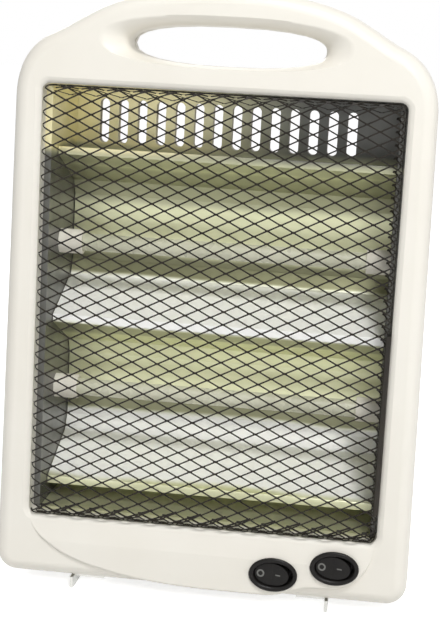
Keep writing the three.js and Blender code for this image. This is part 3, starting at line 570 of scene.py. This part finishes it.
def round_the_bend(u, v, height):
    """Wraps a place of the flat sheet, and a height towards the viewer, round the bend."""
    over_u, over_v = max(abs(u) - core_x, 0), max(abs(v) - core_z, 0)
    over = math.hypot(over_u, over_v)
    turn = min(over / guard_bend, math.pi / 2)
    share = (guard_bend + height) * math.sin(turn) / over if over else 0
    back = guard_bend - (guard_bend + height) * math.cos(turn) + max(over - quarter, 0)
    return place(math.copysign(min(abs(u), core_x) + over_u * share, u), guard_mid + back,
                 math.copysign(min(abs(v), core_z) + over_v * share, v))


turn_starts, turn_deep = 0.4, 5         # share of the edge where it turns in, and how far it goes
for lattice, turned in ((guard, 0), (turned_in, 1)):
    for vertex in lattice.data.vertices:
        edge_share = beyond(vertex.co) / (quarter + guard_skirt)
        share = max(edge_share - turn_starts, 0) / (1 - turn_starts)
        inside = turned * (1 + turn_deep * share)
        vertex.co = round_the_bend(vertex.co.x / mm, vertex.co.z / mm, -vertex.co.y / mm - inside)
    lattice.data.update()

deselect()
bpy.ops.mesh.primitive_grid_add(
    x_subdivisions=10, y_subdivisions=20, size=1, rotation=(math.pi / 2, 0, 0))
selvedge = settle(bpy.context.object, "selvedge")
for vertex in selvedge.data.vertices:
    vertex.co = round_the_bend(core_x + selvedge_start + (vertex.co.x + 0.5) * selvedge_wide,
                               selvedge_mid + vertex.co.z * selvedge_long, selvedge_proud)
strip = selvedge.modifiers.new("sheet", "SOLIDIFY")
strip.thickness = selvedge_thick * mm
strip.offset = 0
apply_all(selvedge)
guard = soften(as_one("guard_expanded_steel", [guard, turned_in, selvedge]), 40)

black_enamel, tree, shader = finish_of("black_enamel", Specular_IOR_Level=0.2)
grain = group_in(tree, grain_group, Grain=900.0, Patch=60.0)
dress(tree, shader,
      mottled(tree, grain.outputs["Tone"], (0.012, 0.010, 0.008), (0.022, 0.018, 0.013)),
      spread(tree, grain.outputs["Gloss"], 0.38, 0.55), grain.outputs["Height"], 0.25, 0.08)
wear(guard, black_enamel)
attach(guard, "case")
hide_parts("guard_mesh")


# ---- Reflector, liner and side shields ----------------------------------------------------
# Thin bright sheet, folded and left unpainted: the reflector's two troughs, the channel round
# them and a shield at each end. Rolled sheet mirrors softly in its own straw tone; on it lie
# bands of painted light, painted reflection and painted olive and grey shade, by height and
# place.
sheet_group, sheet_in, sheet_out = new_group(
    "rolled sheet", [("Dent", 26.0)], ["Relief", "Tone", "Gloss"])
streaks = noise(sheet_group, 3.0, 3.0, (1.5, 70, 70))
dents = noise(sheet_group, sheet_in.outputs["Dent"], 1.0)
weighed = sheet_group.nodes.new("ShaderNodeMath")
weighed.operation = "MULTIPLY_ADD"
weighed.inputs[1].default_value = 0.02
sheet_group.links.new(streaks, weighed.inputs[0])
sheet_group.links.new(dents, weighed.inputs[2])
sheet_group.links.new(weighed.outputs[0], sheet_out.inputs["Relief"])
sheet_group.links.new(streaks, sheet_out.inputs["Tone"])
sheet_group.links.new(noise(sheet_group, 40.0, 4.0), sheet_out.inputs["Gloss"])


def combined(tree, operation, first, second):
    """Two numbers or sockets put through one arithmetic step."""
    step = tree.nodes.new("ShaderNodeMath")
    step.operation = operation
    for socket, value in zip(step.inputs, (first, second)):
        if isinstance(value, (int, float)):
            socket.default_value = value
        else:
            tree.links.new(value, socket)
    return step.outputs[0]


def ramp_up(tree, value, low, high, floor=0.0, ceiling=1.0):
    """Rises smoothly from floor to ceiling while the value goes from low to high."""
    reach = tree.nodes.new("ShaderNodeMapRange")
    reach.interpolation_type = "SMOOTHSTEP"
    reach.inputs["From Min"].default_value = low
    reach.inputs["From Max"].default_value = high
    reach.inputs["To Min"].default_value = floor
    reach.inputs["To Max"].default_value = ceiling
    tree.links.new(value, reach.inputs["Value"])
    return reach.outputs["Result"]


def band(tree, value, low, high, soft):
    """1 between two heights, with soft edges."""
    return combined(tree, "MULTIPLY", ramp_up(tree, value, low - soft, low + soft),
                    ramp_up(tree, value, high - soft, high + soft, 1.0, 0.0))


# Masks for colour painted on by height and place: painted light, painted olive shade, a painted
# gold reflection and painted grey shade.
painted_marks_group, _, painted_marks_out = new_group("painted light and shade", [], ["PaintedLight", "PaintedShade", "PaintedGold", "PaintedGreyShade"])
spot = painted_marks_group.nodes.new("ShaderNodeTexCoord")
axes = painted_marks_group.nodes.new("ShaderNodeSeparateXYZ")
painted_marks_group.links.new(spot.outputs["Object"], axes.inputs["Vector"])
band_wander = 3.5                       # how far the bands' edges wander up and down
wavy = spread(painted_marks_group, noise(painted_marks_group, 14.0, 3.0, (0.35, 1, 1)),
              -band_wander * mm, band_wander * mm)
height = combined(painted_marks_group, "ADD", axes.outputs["Z"], wavy)


def joined(operation, first, second):
    """Two masks of the painted light and shade put through one arithmetic step."""
    return combined(painted_marks_group, operation, first, second)


def strongest_band(bands):
    """The largest of some bands of height."""
    total = 0.0
    for low, high, soft, strength in bands:
        one = band(painted_marks_group, height, middle_z + low * mm, middle_z + high * mm, soft * mm)
        total = joined("MAXIMUM", joined("MULTIPLY", one, strength), total)
    return total


# Bands in millimetres from the window's middle: low, high, softness, strength.
# Painted light: white bands on the troughs' walls that face up to the lamp.
painted_light_bands = [(-16, 8, 2.0, 1.0), (-120, -88, 2.0, 1.0)]
# Painted shade: dark olive bands under the tubes and the ridge, on the upper walls that face
# down, and weakly along the bottom.
painted_shade_bands = [(-26, -16, 2.0, 0.6), (8, 24, 3.0, 1.0), (60, 86, 3.0, 0.6), (86, 97, 2.0, 0.45),
               (-88, -74, 3.0, 0.9), (-160, -122, 2.5, 0.25)]
# Painted grey shade on the end shields, from where the troughs end.
shield_from, shield_to = 107.2, 107.9   # from the middle: where troughs end, where a shield is
# Round the vents, a painted gold reflection at the left turns to painted grey shade at the right,
# over this half width.
fade_half = 60                          # half the width over which gold turns dull at the vents
vents_from, vents_to, vents_soft = 95, 180, 3   # heights of the zone round the vents
on_shield = ramp_up(painted_marks_group, joined("ABSOLUTE", axes.outputs["X"], 0),
                    shield_from * mm, shield_to * mm)
rightwards_fade = ramp_up(painted_marks_group, axes.outputs["X"], -fade_half * mm, fade_half * mm)
vent_zone = band(painted_marks_group, height, middle_z + vents_from * mm, middle_z + vents_to * mm,
                 vents_soft * mm)
masks = {
    "PaintedLight": joined("MULTIPLY", strongest_band(painted_light_bands), joined("SUBTRACT", 1, on_shield)),
    "PaintedShade": strongest_band(painted_shade_bands),
    "PaintedGold": joined("MAXIMUM", joined("SUBTRACT", vent_zone, rightwards_fade), 0),
    "PaintedGreyShade": joined("MAXIMUM", joined("MULTIPLY", vent_zone, rightwards_fade),
                   joined("SUBTRACT", on_shield, vent_zone)),
}
for label, mask in masks.items():
    painted_marks_group.links.new(mask, painted_marks_out.inputs[label])

bright_sheet, tree, shader = finish_of("bright_rolled_sheet")
rolled = group_in(tree, sheet_group, Dent=22.0)
painted_marks = group_in(tree, painted_marks_group)
straw_and_painted_gold = mottled(tree, rolled.outputs["Tone"], (0.86, 0.865, 0.60), (0.78, 0.79, 0.53))
# A painted gold reflection round the vents at the left, on the sheet's own straw tone.
straw_and_painted_gold = two_tones(tree, painted_marks.outputs["PaintedGold"], straw_and_painted_gold, (0.95, 0.88, 0.55))
# Painted olive shade in bands under the tubes and on the walls that face down.
with_painted_shade = two_tones(tree, painted_marks.outputs["PaintedShade"], straw_and_painted_gold, (0.19, 0.19, 0.11))
# Painted grey shade on the shields and round the vents at the right.
with_painted_shade = two_tones(tree, painted_marks.outputs["PaintedGreyShade"], with_painted_shade, (0.15, 0.15, 0.14))
# Painted light: where the white is laid, the sheet is also made less metal, so it shows the lamp
# as a bright diffuse white.
tree.links.new(ramp_up(tree, painted_marks.outputs["PaintedLight"], 0, 1, 0.7, 0.1), shader.inputs["Metallic"])
dress(tree, shader, two_tones(tree, painted_marks.outputs["PaintedLight"], with_painted_shade, (0.98, 0.98, 0.95)),
      spread(tree, rolled.outputs["Gloss"], 0.30, 0.42), rolled.outputs["Relief"], 0.2, 0.8)


def round_edges(piece, width, segments, degrees):
    """Rounds a piece's edges that are sharper than an angle; the width is in millimetres."""
    bevel = piece.modifiers.new("bevel", "BEVEL")
    bevel.width = width * mm
    bevel.segments = segments
    bevel.limit_method = "ANGLE"
    bevel.angle_limit = math.radians(degrees)


def folded_sheet(node, name, radius, punch=None):
    """A packed sheet, punched if a cutter is given, with its folds rounded as a press does."""
    piece = merged_copy(node, name)
    if punch:
        carve(piece, punch)
    round_edges(piece, radius, 4, 18)
    apply_all(piece)
    soften(piece, 40)
    wear(piece, bright_sheet)
    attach(piece, "case")
    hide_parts(node)


def repaint(material, *nodes):
    """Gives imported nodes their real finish."""
    for node in nodes:
        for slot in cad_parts[node].material_slots:
            slot.material = material


through_liner = (84, 91)                # depths between which the slots' cutter reaches
folded_sheet("reflector", "reflector_troughs", 0.35)
folded_sheet("liner", "liner_channel", 0.2, vent_tool(*through_liner))
repaint(bright_sheet, "side_shield_left", "side_shield_right")


# ---- Quartz tubes -------------------------------------------------------------------------
# Two milky quartz tubes, each with a resistance wire wound in a close coil, held at both ends
# in ceramic caps that carry the terminals.
tube_rows = {"upper": 34.55, "lower": -62.95}
tube_y, tube_radius, tube_wall, tube_half = 50.0, 5.6, 1.1, 102.5
wire_radius, coil_radius, coil_pitch, coil_turns = 0.3, 1.6, 1.6, 128
cap_radius, cap_start, cap_end, cap_rim, cap_bore = 8.0, 92.5, 118.5, 2.1, 10.2

milky_quartz, tree, shader = finish_of(
    "milky_quartz", IOR=1.46, Transmission_Weight=0.08, Subsurface_Weight=0.3,
    Subsurface_Scale=0.004, Subsurface_Radius=(1.0, 1.0, 1.0))
grain = group_in(tree, grain_group, Grain=500.0, Patch=9.0)
dress(tree, shader,
      mottled(tree, grain.outputs["Tone"], (0.88, 0.87, 0.70), (0.52, 0.52, 0.38)),
      spread(tree, grain.outputs["Gloss"], 0.22, 0.34), grain.outputs["Height"], 0.1, 0.05)

ceramic_body, tree, shader = finish_of("unglazed_ceramic", Specular_IOR_Level=0.35)
grain = group_in(tree, grain_group, Grain=1100.0, Patch=70.0)
dress(tree, shader,
      mottled(tree, grain.outputs["Tone"], (0.80, 0.77, 0.68), (0.70, 0.665, 0.57)),
      spread(tree, grain.outputs["Gloss"], 0.55, 0.75), grain.outputs["Height"], 0.3, 0.08)

heat_wire, tree, shader = finish_of("oxidised_wire", Metallic=1.0)
rolled = group_in(tree, sheet_group, Dent=200.0)
dress(tree, shader,
      mottled(tree, rolled.outputs["Gloss"], (0.16, 0.14, 0.12), (0.28, 0.24, 0.20)),
      spread(tree, rolled.outputs["Tone"], 0.4, 0.6), rolled.outputs["Relief"], 0.2, 0.1)

plain_brass, tree, shader = finish_of("plain_brass", Metallic=1.0)
rolled = group_in(tree, sheet_group, Dent=120.0)
dress(tree, shader,
      mottled(tree, rolled.outputs["Tone"], (0.60, 0.43, 0.16), (0.50, 0.35, 0.13)),
      spread(tree, rolled.outputs["Gloss"], 0.25, 0.45), rolled.outputs["Relief"], 0.2, 0.1)


def along_x(name, radius, x0, x1, y, z, fill="NGON"):
    """A round bar or an open pipe that lies along X."""
    deselect()
    bpy.ops.mesh.primitive_cylinder_add(
        vertices=48, radius=radius * mm, depth=abs(x1 - x0) * mm, end_fill_type=fill,
        rotation=(0, math.pi / 2, 0), location=place((x0 + x1) / 2, y, z))
    return settle(bpy.context.object, name)


for row, z in tube_rows.items():
    tube = along_x("quartz_tube_" + row + "_glass", tube_radius, -tube_half, tube_half,
                   tube_y, z, fill="NOTHING")
    tube_sheet = tube.modifiers.new("wall", "SOLIDIFY")
    tube_sheet.thickness = tube_wall * mm
    tube_sheet.offset = -1
    round_edges(tube, 0.3, 2, 30)
    apply_all(tube)
    soften(tube, 40)
    wear(tube, milky_quartz)
    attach(tube, "case")
    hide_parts("quartz_tube_" + row)

    deselect()
    bpy.ops.mesh.primitive_circle_add(
        vertices=6, radius=wire_radius * mm, rotation=(math.pi / 2, 0, 0))
    coil = settle(bpy.context.object, "coil_" + row)
    move(coil, Vector((coil_radius * mm, 0, 0)))
    winding = coil.modifiers.new("winding", "SCREW")
    winding.axis = "Z"
    winding.iterations = coil_turns
    winding.screw_offset = coil_pitch * mm
    winding.steps = winding.render_steps = 12
    winding.use_merge_vertices = True
    apply_all(coil)
    coil.data.transform(Matrix.Rotation(math.pi / 2, 4, "Y"))
    reach = [vertex.co.x for vertex in coil.data.vertices]
    move(coil, place(0, tube_y, z) - Vector(((min(reach) + max(reach)) / 2, 0, 0)))
    soften(coil, 60)
    wear(coil, heat_wire)
    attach(coil, "case")
    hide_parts("heating_element_" + row)

    for side, sign in (("left", -1), ("right", 1)):
        cap = along_x("cap_" + row + "_" + side, cap_radius, sign * cap_start, sign * cap_end,
                      tube_y, z)
        choose(cap, "FACE", lambda face: face.normal.x * sign < -0.9)
        bpy.ops.mesh.inset(thickness=cap_rim * mm)
        bpy.ops.mesh.extrude_region_move(
            TRANSFORM_OT_translate={"value": (sign * cap_bore * mm, 0, 0)})
        bpy.ops.object.mode_set(mode="OBJECT")
        round_edges(cap, 0.7, 3, 40)
        apply_all(cap)
        soften(cap, 40)
        wear(cap, ceramic_body)
        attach(cap, "case")
        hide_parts("tube_cap_" + row + "_" + side)
        repaint(plain_brass, "tube_terminal_" + row + "_" + side)


# ---- Switches -----------------------------------------------------------------------------
# Two oval rocker switches of black nylon, snapped into the raised panel: a bezel with a round
# rim, and a rocker that turns on a pin, off with its right end out. The rocker's face dips in
# the middle and has a ring and a bar printed on it in grey.
bezel_back, bezel_face = -2.3, -4.1
pivot_y, rocker_tilt = 1.1, 10
rocker_half_x, rocker_half_z, rocker_ends, rocker_dish = 11.1, 7.2, 4.4, 1.1
bore_radius, bore_long = 1.25, 20
ring_radius, ring_line, ring_squash = 2.0, 0.55, 0.35
bar_long, bar_high, bar_proud = 3.2, 0.75, 0.3
ring_along, bar_along = -7.4, 3.9       # the printed marks, from the rocker's middle

black_nylon, tree, shader = finish_of("black_nylon", Specular_IOR_Level=0.16)
grain = group_in(tree, grain_group, Grain=2200.0, Patch=120.0)
dress(tree, shader,
      mottled(tree, grain.outputs["Tone"], (0.0075, 0.0066, 0.006), (0.011, 0.010, 0.0092)),
      spread(tree, grain.outputs["Gloss"], 0.26, 0.38), grain.outputs["Height"], 0.25, 0.04)

printed_grey, tree, shader = finish_of("printed_grey", Specular_IOR_Level=0.3)
grain = group_in(tree, grain_group, Grain=1500.0, Patch=300.0)
dress(tree, shader,
      mottled(tree, grain.outputs["Tone"], (0.17, 0.17, 0.16), (0.13, 0.13, 0.12)),
      spread(tree, grain.outputs["Gloss"], 0.5, 0.65), grain.outputs["Height"], 0.1, 0.02)


def on_rocker(piece, x, z, along):
    """Lays a mark made at the origin on one half of a rocker's face, and tips it with that
    rocker."""
    lean = math.copysign(math.atan2(rocker_dish, rocker_half_x), -along)
    face = pivot_y - rocker_ends + rocker_dish * (1 - abs(along) / rocker_half_x)
    piece.data.transform(Matrix.Rotation(lean, 4, "Z"))
    move(piece, place(x + along, face, z))
    tip(piece, x, z)


def tip(piece, x, z):
    """Turns a rocker, or a mark on it, to off: its right end out."""
    pivot = place(x, pivot_y, z)
    move(piece, -pivot)
    piece.data.transform(Matrix.Rotation(math.radians(-rocker_tilt), 4, "Z"))
    move(piece, pivot)


for side, (x, z) in zip(("left", "right"), switch_places):
    deep = (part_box("switch_body_" + side)[1].y - front_y) / mm
    profile = [
        (deep, 12.9, 8.4, 0), (bezel_back, 12.9, 8.4, 0), (bezel_back, 15.5, 11.0, 0),
        (bezel_back - 0.9, 15.5, 11.0, 0), (bezel_back - 1.35, 15.3, 10.8, 0),
        (bezel_back - 1.65, 14.95, 10.45, 0), (bezel_face, 14.4, 9.9, 0),
        (bezel_face + 0.1, 13.6, 9.1, 0), (bezel_face + 0.45, 12.9, 8.4, 0),
        (bezel_face + 1.1, 12.3, 7.8, 0), (3.0, 12.0, 7.5, 0), (5.2, 11.9, 7.4, 0)]
    body = oval_tool("switch_moulding_" + side, x, z, profile, 2, 72)
    soften(body, 40)
    wear(body, black_nylon)
    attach(body, "case")
    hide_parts("switch_body_" + side)

    rocker = oval_tool("rocker_cap_" + side, x, z, [
        (pivot_y + 2.8, 3.0, 6.6, 0), (pivot_y + 1.2, rocker_half_x * 0.93, 7.0, 0),
        (pivot_y - rocker_ends, rocker_half_x, rocker_half_z, 0)], 2, 72)
    activate(rocker)
    bpy.ops.object.mode_set(mode="EDIT")
    bpy.ops.mesh.select_all(action="SELECT")
    bpy.ops.mesh.bisect(plane_co=place(x, 0, z), plane_no=(1, 0, 0))
    bpy.ops.object.mode_set(mode="OBJECT")
    for vertex in rocker.data.vertices:
        if vertex.co.y < place(0, pivot_y - rocker_ends + 0.01, 0).y:
            share = min(abs(vertex.co.x / mm - x) / rocker_half_x, 1)
            vertex.co.y = place(0, pivot_y - rocker_ends + rocker_dish * (1 - share), 0).y
    round_edges(rocker, 0.4, 3, 50)
    apply_all(rocker)
    deselect()
    bpy.ops.mesh.primitive_cylinder_add(
        vertices=32, radius=bore_radius * mm, depth=bore_long * mm, location=place(x, pivot_y, z))
    carve(rocker, settle(bpy.context.object, "pin_bore"))
    soften(rocker, 8)
    tip(rocker, x, z)
    wear(rocker, black_nylon)
    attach(rocker, "rocker_" + side)
    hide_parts("rocker_" + side)

    deselect()
    bpy.ops.mesh.primitive_torus_add(
        major_segments=40, minor_segments=10, major_radius=ring_radius * mm,
        minor_radius=ring_line * mm, rotation=(math.pi / 2, 0, 0))
    ring = settle(bpy.context.object, "off_mark_" + side)
    ring.data.transform(Matrix.Diagonal((1, ring_squash, 1, 1)))
    deselect()
    bpy.ops.mesh.primitive_cube_add(
        size=1, scale=(bar_long * mm, bar_proud * mm, bar_high * mm))
    bar = settle(bpy.context.object, "on_mark_" + side)
    bpy.ops.object.mode_set(mode="EDIT")
    bpy.ops.mesh.select_all(action="SELECT")
    bpy.ops.mesh.bevel(offset=0.1 * mm, segments=2, affect="EDGES")
    bpy.ops.object.mode_set(mode="OBJECT")
    for mark, along in ((ring, ring_along), (bar, bar_along)):
        on_rocker(mark, x, z, along)
        soften(mark, 40)
        wear(mark, printed_grey)
        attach(mark, "rocker_" + side)
    repaint(plain_brass, "switch_tab_" + side + "_in", "switch_tab_" + side + "_out")


# ---- Tip-over switch and small inner parts ------------------------------------------------
# A pendulum in a black box on the case's floor opens the circuit when the heater falls; with
# it the thermal cut-out on the shield, the ceramic terminal block and the cable gland.
zinc_plate, tree, shader = finish_of("zinc_plated_steel", Metallic=1.0)
rolled = group_in(tree, sheet_group, Dent=140.0)
dress(tree, shader,
      mottled(tree, rolled.outputs["Gloss"], (0.60, 0.60, 0.57), (0.47, 0.47, 0.45)),
      spread(tree, rolled.outputs["Tone"], 0.3, 0.5), rolled.outputs["Relief"], 0.15, 0.2)
repaint(black_nylon, "tipover_housing", "thermal_cutout", "cable_gland", "gland_nut")
repaint(ceramic_body, "terminal_block")
repaint(zinc_plate, "tipover_pendulum", "tipover_pin", "rocker_pin_left", "rocker_pin_right")


# ---- Feet and screws ----------------------------------------------------------------------
# Two zinc plated plates stand edge on under the case and carry it; screws with pan heads hold
# them, the two case halves and the liner.
screw_levels = {"foot_screw_": ("front", "back"), "case_screw_": ("top", "middle", "low"),
                "liner_screw_": ("top", "low")}
for side in ("left", "right"):
    repaint(zinc_plate, "foot_" + side)
    for screw, levels in screw_levels.items():
        repaint(zinc_plate, *(screw + side + "_" + level for level in levels))


# ---- Floor, light and camera --------------------------------------------------------------
# A plain pale floor and a white surround, a soft lamp high in front and one lower down, a weak
# one at the right and one behind, and the camera a little above and to the right of the heater.
deselect()
bpy.ops.mesh.primitive_plane_add(size=40, location=(0, 0, 0))
floor = bpy.context.object
floor.name = "floor"
pale_floor = bpy.data.materials.new("pale_floor")
pale_floor.use_nodes = True
tree = pale_floor.node_tree
shader = tree.nodes["Principled BSDF"]
shader.inputs["Base Color"].default_value = (0.78, 0.78, 0.78, 1)
shader.inputs["Roughness"].default_value = 0.9


def seen_directly(tree):
    """1 for what the camera sees, itself or in a mirror or through glass, else 0."""
    path = tree.nodes.new("ShaderNodeLightPath")
    total = path.outputs["Is Camera Ray"]
    for name in ("Is Glossy Ray", "Is Transmission Ray"):
        larger = tree.nodes.new("ShaderNodeMath")
        larger.operation = "MAXIMUM"
        tree.links.new(total, larger.inputs[0])
        tree.links.new(path.outputs[name], larger.inputs[1])
        total = larger.outputs[0]
    return total


def times(tree, value, factor, add=0.0):
    """A number or socket times a factor, and more added."""
    scaled = tree.nodes.new("ShaderNodeMath")
    scaled.operation = "MULTIPLY_ADD"
    scaled.inputs[1].default_value = factor
    scaled.inputs[2].default_value = add
    tree.links.new(value, scaled.inputs[0])
    return scaled.outputs[0]


floor_seen = 0.74                       # added where the camera sees the floor, to make it white
shader.inputs["Emission Color"].default_value = (1, 1, 1, 1)
tree.links.new(times(tree, seen_directly(tree), floor_seen), shader.inputs["Emission Strength"])
wear(floor, pale_floor)

surround_light, surround_seen = 0.34, 0.66   # its strength as light, and what is added where seen
surround = bpy.data.worlds.new("white_surround")
bpy.context.scene.world = surround
surround.use_nodes = True
tree = surround.node_tree
sky = tree.nodes["Background"]
sky.inputs["Color"].default_value = (1, 1, 1, 1)
tree.links.new(
    times(tree, seen_directly(tree), surround_seen, surround_light), sky.inputs["Strength"])


lamps_aim = Vector((0, 0, 0.2))


def soft_lamp(name, location, size, watts):
    """A square lamp that points at the middle of the heater."""
    deselect()
    bpy.ops.object.light_add(type="AREA", location=location)
    lamp = bpy.context.object
    lamp.name = name
    lamp.data.shape = "SQUARE"
    lamp.data.size = size
    lamp.data.energy = watts
    aim = lamps_aim - Vector(location)
    lamp.rotation_euler = aim.to_track_quat("-Z", "Y").to_euler()


soft_lamp("key", (0.36, -1.25, 1.95), 0.36, 26)
soft_lamp("front", (0.60, -1.90, 1.15), 0.36, 15)
soft_lamp("side", (1.9, -0.5, 0.5), 0.8, 3)
soft_lamp("behind", (-0.7, 1.7, 1.3), 0.6, 16)

camera_spot, focal_length = place(105.93, -882.69, 161.38), 119.11
azimuth, elevation, roll = math.radians(6.498), math.radians(10.020), math.radians(3.109)
towards = Vector((
    math.sin(azimuth) * math.cos(elevation), -math.cos(azimuth) * math.cos(elevation),
    math.sin(elevation)))
rightwards = Vector((math.cos(azimuth), math.sin(azimuth), 0))
upwards_view = towards.cross(rightwards)
camera_x = rightwards * math.cos(roll) + upwards_view * math.sin(roll)
camera_y = upwards_view * math.cos(roll) - rightwards * math.sin(roll)
deselect()
bpy.ops.object.camera_add()
camera = bpy.context.object
camera.matrix_world = Matrix.Translation(camera_spot) @ Matrix(
    (camera_x, camera_y, towards)).transposed().to_4x4()
camera.data.sensor_fit = "HORIZONTAL"
camera.data.sensor_width = 36
camera.data.lens = focal_length
camera.data.clip_end = 50
bpy.context.scene.camera = camera
bpy.context.scene.view_settings.view_transform = "Standard"
